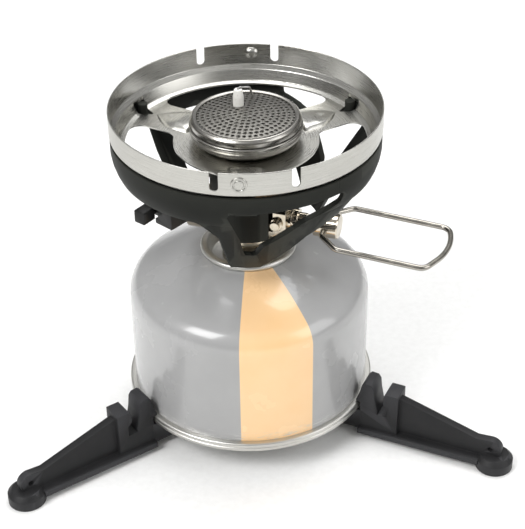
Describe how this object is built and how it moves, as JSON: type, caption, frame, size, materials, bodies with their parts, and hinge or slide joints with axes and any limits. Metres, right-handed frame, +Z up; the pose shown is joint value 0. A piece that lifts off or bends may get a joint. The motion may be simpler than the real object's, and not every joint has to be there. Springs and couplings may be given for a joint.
{
  "type": "camping stove",
  "caption": "Canister camping stove: slotted cup ring, round perforated burner head, moulded base, valve with folding wire bail, push igniter, gas canister and folding stabiliser.",
  "frame": {"origin": "on the canister's axis, in the plane that the three foot pads stand on", "axes": "+Z up along the canister and burner axis; +Y away from the front support; the valve points 18.1 degrees from +X towards -Y"},
  "size_m": [0.1804, 0.1653, 0.1297],
  "materials": {
    "can_enamel": "glossy grey enamel with a plain pale orange panel",
    "can_seam": "tin-plated steel, pale, satin",
    "clear_nylon": "natural nylon",
    "black_rubber": "black nitrile rubber",
    "spring_steel": "drawn spring wire",
    "rivet_steel": "zinc-plated steel",
    "leg_nylon": "moulded glass-filled nylon, fine texture",
    "satin_stainless": "satin drawn stainless sheet",
    "burner_stainless": "spun stainless, bright rolled edge",
    "screen_stainless": "perforated stainless",
    "white_ceramic": "unglazed alumina",
    "base_nylon": "dark grey glass-filled nylon, satin",
    "nickel_plate": "polished nickel over brass",
    "turned_brass": "turned",
    "sintered_bronze": "sintered",
    "igniter_plastic": "black moulded plastic",
    "lead_sleeve": "silicone sleeve",
    "bail_steel": "drawn stainless wire, worn bright"
  },
  "bodies": {
    "canister": {"canister_shell": "can_enamel", "canister_bottom": "can_seam", "valve_cup": "can_seam", "valve_cage": "clear_nylon", "stem_gasket": "black_rubber", "stem_spring": "spring_steel", "hub_rivet": "rivet_steel", "hub_washer": "rivet_steel", "leg_rear": "leg_nylon"},
    "left_leg": {"leg_left": "leg_nylon"},
    "right_leg": {"leg_right": "leg_nylon"},
    "canister_stem": {"canister_stem": "clear_nylon"},
    "inlet_gasket": {"inlet_gasket": "black_rubber"},
    "burner": {"cup_ring": "satin_stainless", "burner_cup": "burner_stainless", "burner_rim": "burner_stainless", "burner_screen": "screen_stainless", "burner_rivets": "rivet_steel", "mixing_tube": "burner_stainless", "ceramic_insulator": "white_ceramic", "electrode_wire": "spring_steel", "base_shell": "base_nylon", "base_screws": "rivet_steel", "valve_body": "nickel_plate", "side_plug": "nickel_plate", "inlet_pin": "turned_brass", "jet_filter": "sintered_bronze", "gas_jet": "turned_brass", "packing_nut": "nickel_plate", "gland_ring": "black_rubber", "regulator_diaphragm": "black_rubber", "diaphragm_plate": "rivet_steel", "regulator_poppet": "turned_brass", "regulator_cap": "nickel_plate", "regulator_spring": "spring_steel", "igniter_housing": "igniter_plastic", "piezo_module": "igniter_plastic", "igniter_screw": "rivet_steel", "ignition_lead": "lead_sleeve"},
    "needle_tip": {"needle_tip": "black_rubber"},
    "valve_spindle": {"needle_spindle": "rivet_steel", "valve_barrel": "nickel_plate"},
    "wire_bail": {"wire_bail": "bail_steel"},
    "igniter_button": {"igniter_button": "igniter_plastic"}
  },
  "joints": [
    {"name": "leg_left_fold", "type": "hinge", "parent": "canister", "child": "left_leg", "pos_m": [0, 0, 0.006], "axis": [0, 0, 1], "range_deg": [-102, 0]},
    {"name": "leg_right_fold", "type": "hinge", "parent": "canister", "child": "right_leg", "pos_m": [0, 0, 0.009], "axis": [0, 0, 1], "range_deg": [0, 102]},
    {"name": "stem_press", "type": "slide", "parent": "canister", "child": "canister_stem", "axis": [0, 0, -1], "range_m": [0, 0.0006], "stiffness_N_per_m": 1500, "springref_m": -0.0008, "deforming": ["stem_spring"]},
    {"name": "burner_lift", "type": "slide", "parent": "canister", "child": "inlet_gasket", "axis": [0, 0, 1], "range_m": [0, 0.0035]},
    {"name": "burner_unscrew", "type": "hinge", "parent": "inlet_gasket", "child": "burner", "pos_m": [0, 0, 0.0836], "axis": [0, 0, 1], "range_deg": [0, 1350]},
    {"name": "spindle_travel", "type": "slide", "parent": "burner", "child": "needle_tip", "axis": [0.9505, -0.3107, 0], "range_m": [0, 0.0011]},
    {"name": "valve_turn", "type": "hinge", "parent": "needle_tip", "child": "valve_spindle", "pos_m": [0.02785, -0.0091, 0.0836], "axis": [0.9505, -0.3107, 0], "range_deg": [0, 720]},
    {"name": "bail_fold", "type": "hinge", "parent": "valve_spindle", "child": "wire_bail", "pos_m": [0.02756, -0.00901, 0.0836], "axis": [0.3104, 0.9498, 0.0384], "range_deg": [-48, 52]},
    {"name": "igniter_press", "type": "slide", "parent": "burner", "child": "igniter_button", "axis": [0.6157, 0.788, 0], "range_m": [0, 0.0028], "stiffness_N_per_m": 600, "springref_m": -0.002}
  ],
  "couplings": [
    {"joint": "burner_lift", "follows": "burner_unscrew", "m_per_rad": 0.00014435},
    {"joint": "spindle_travel", "follows": "valve_turn", "m_per_rad": 0.000079577}
  ]
}
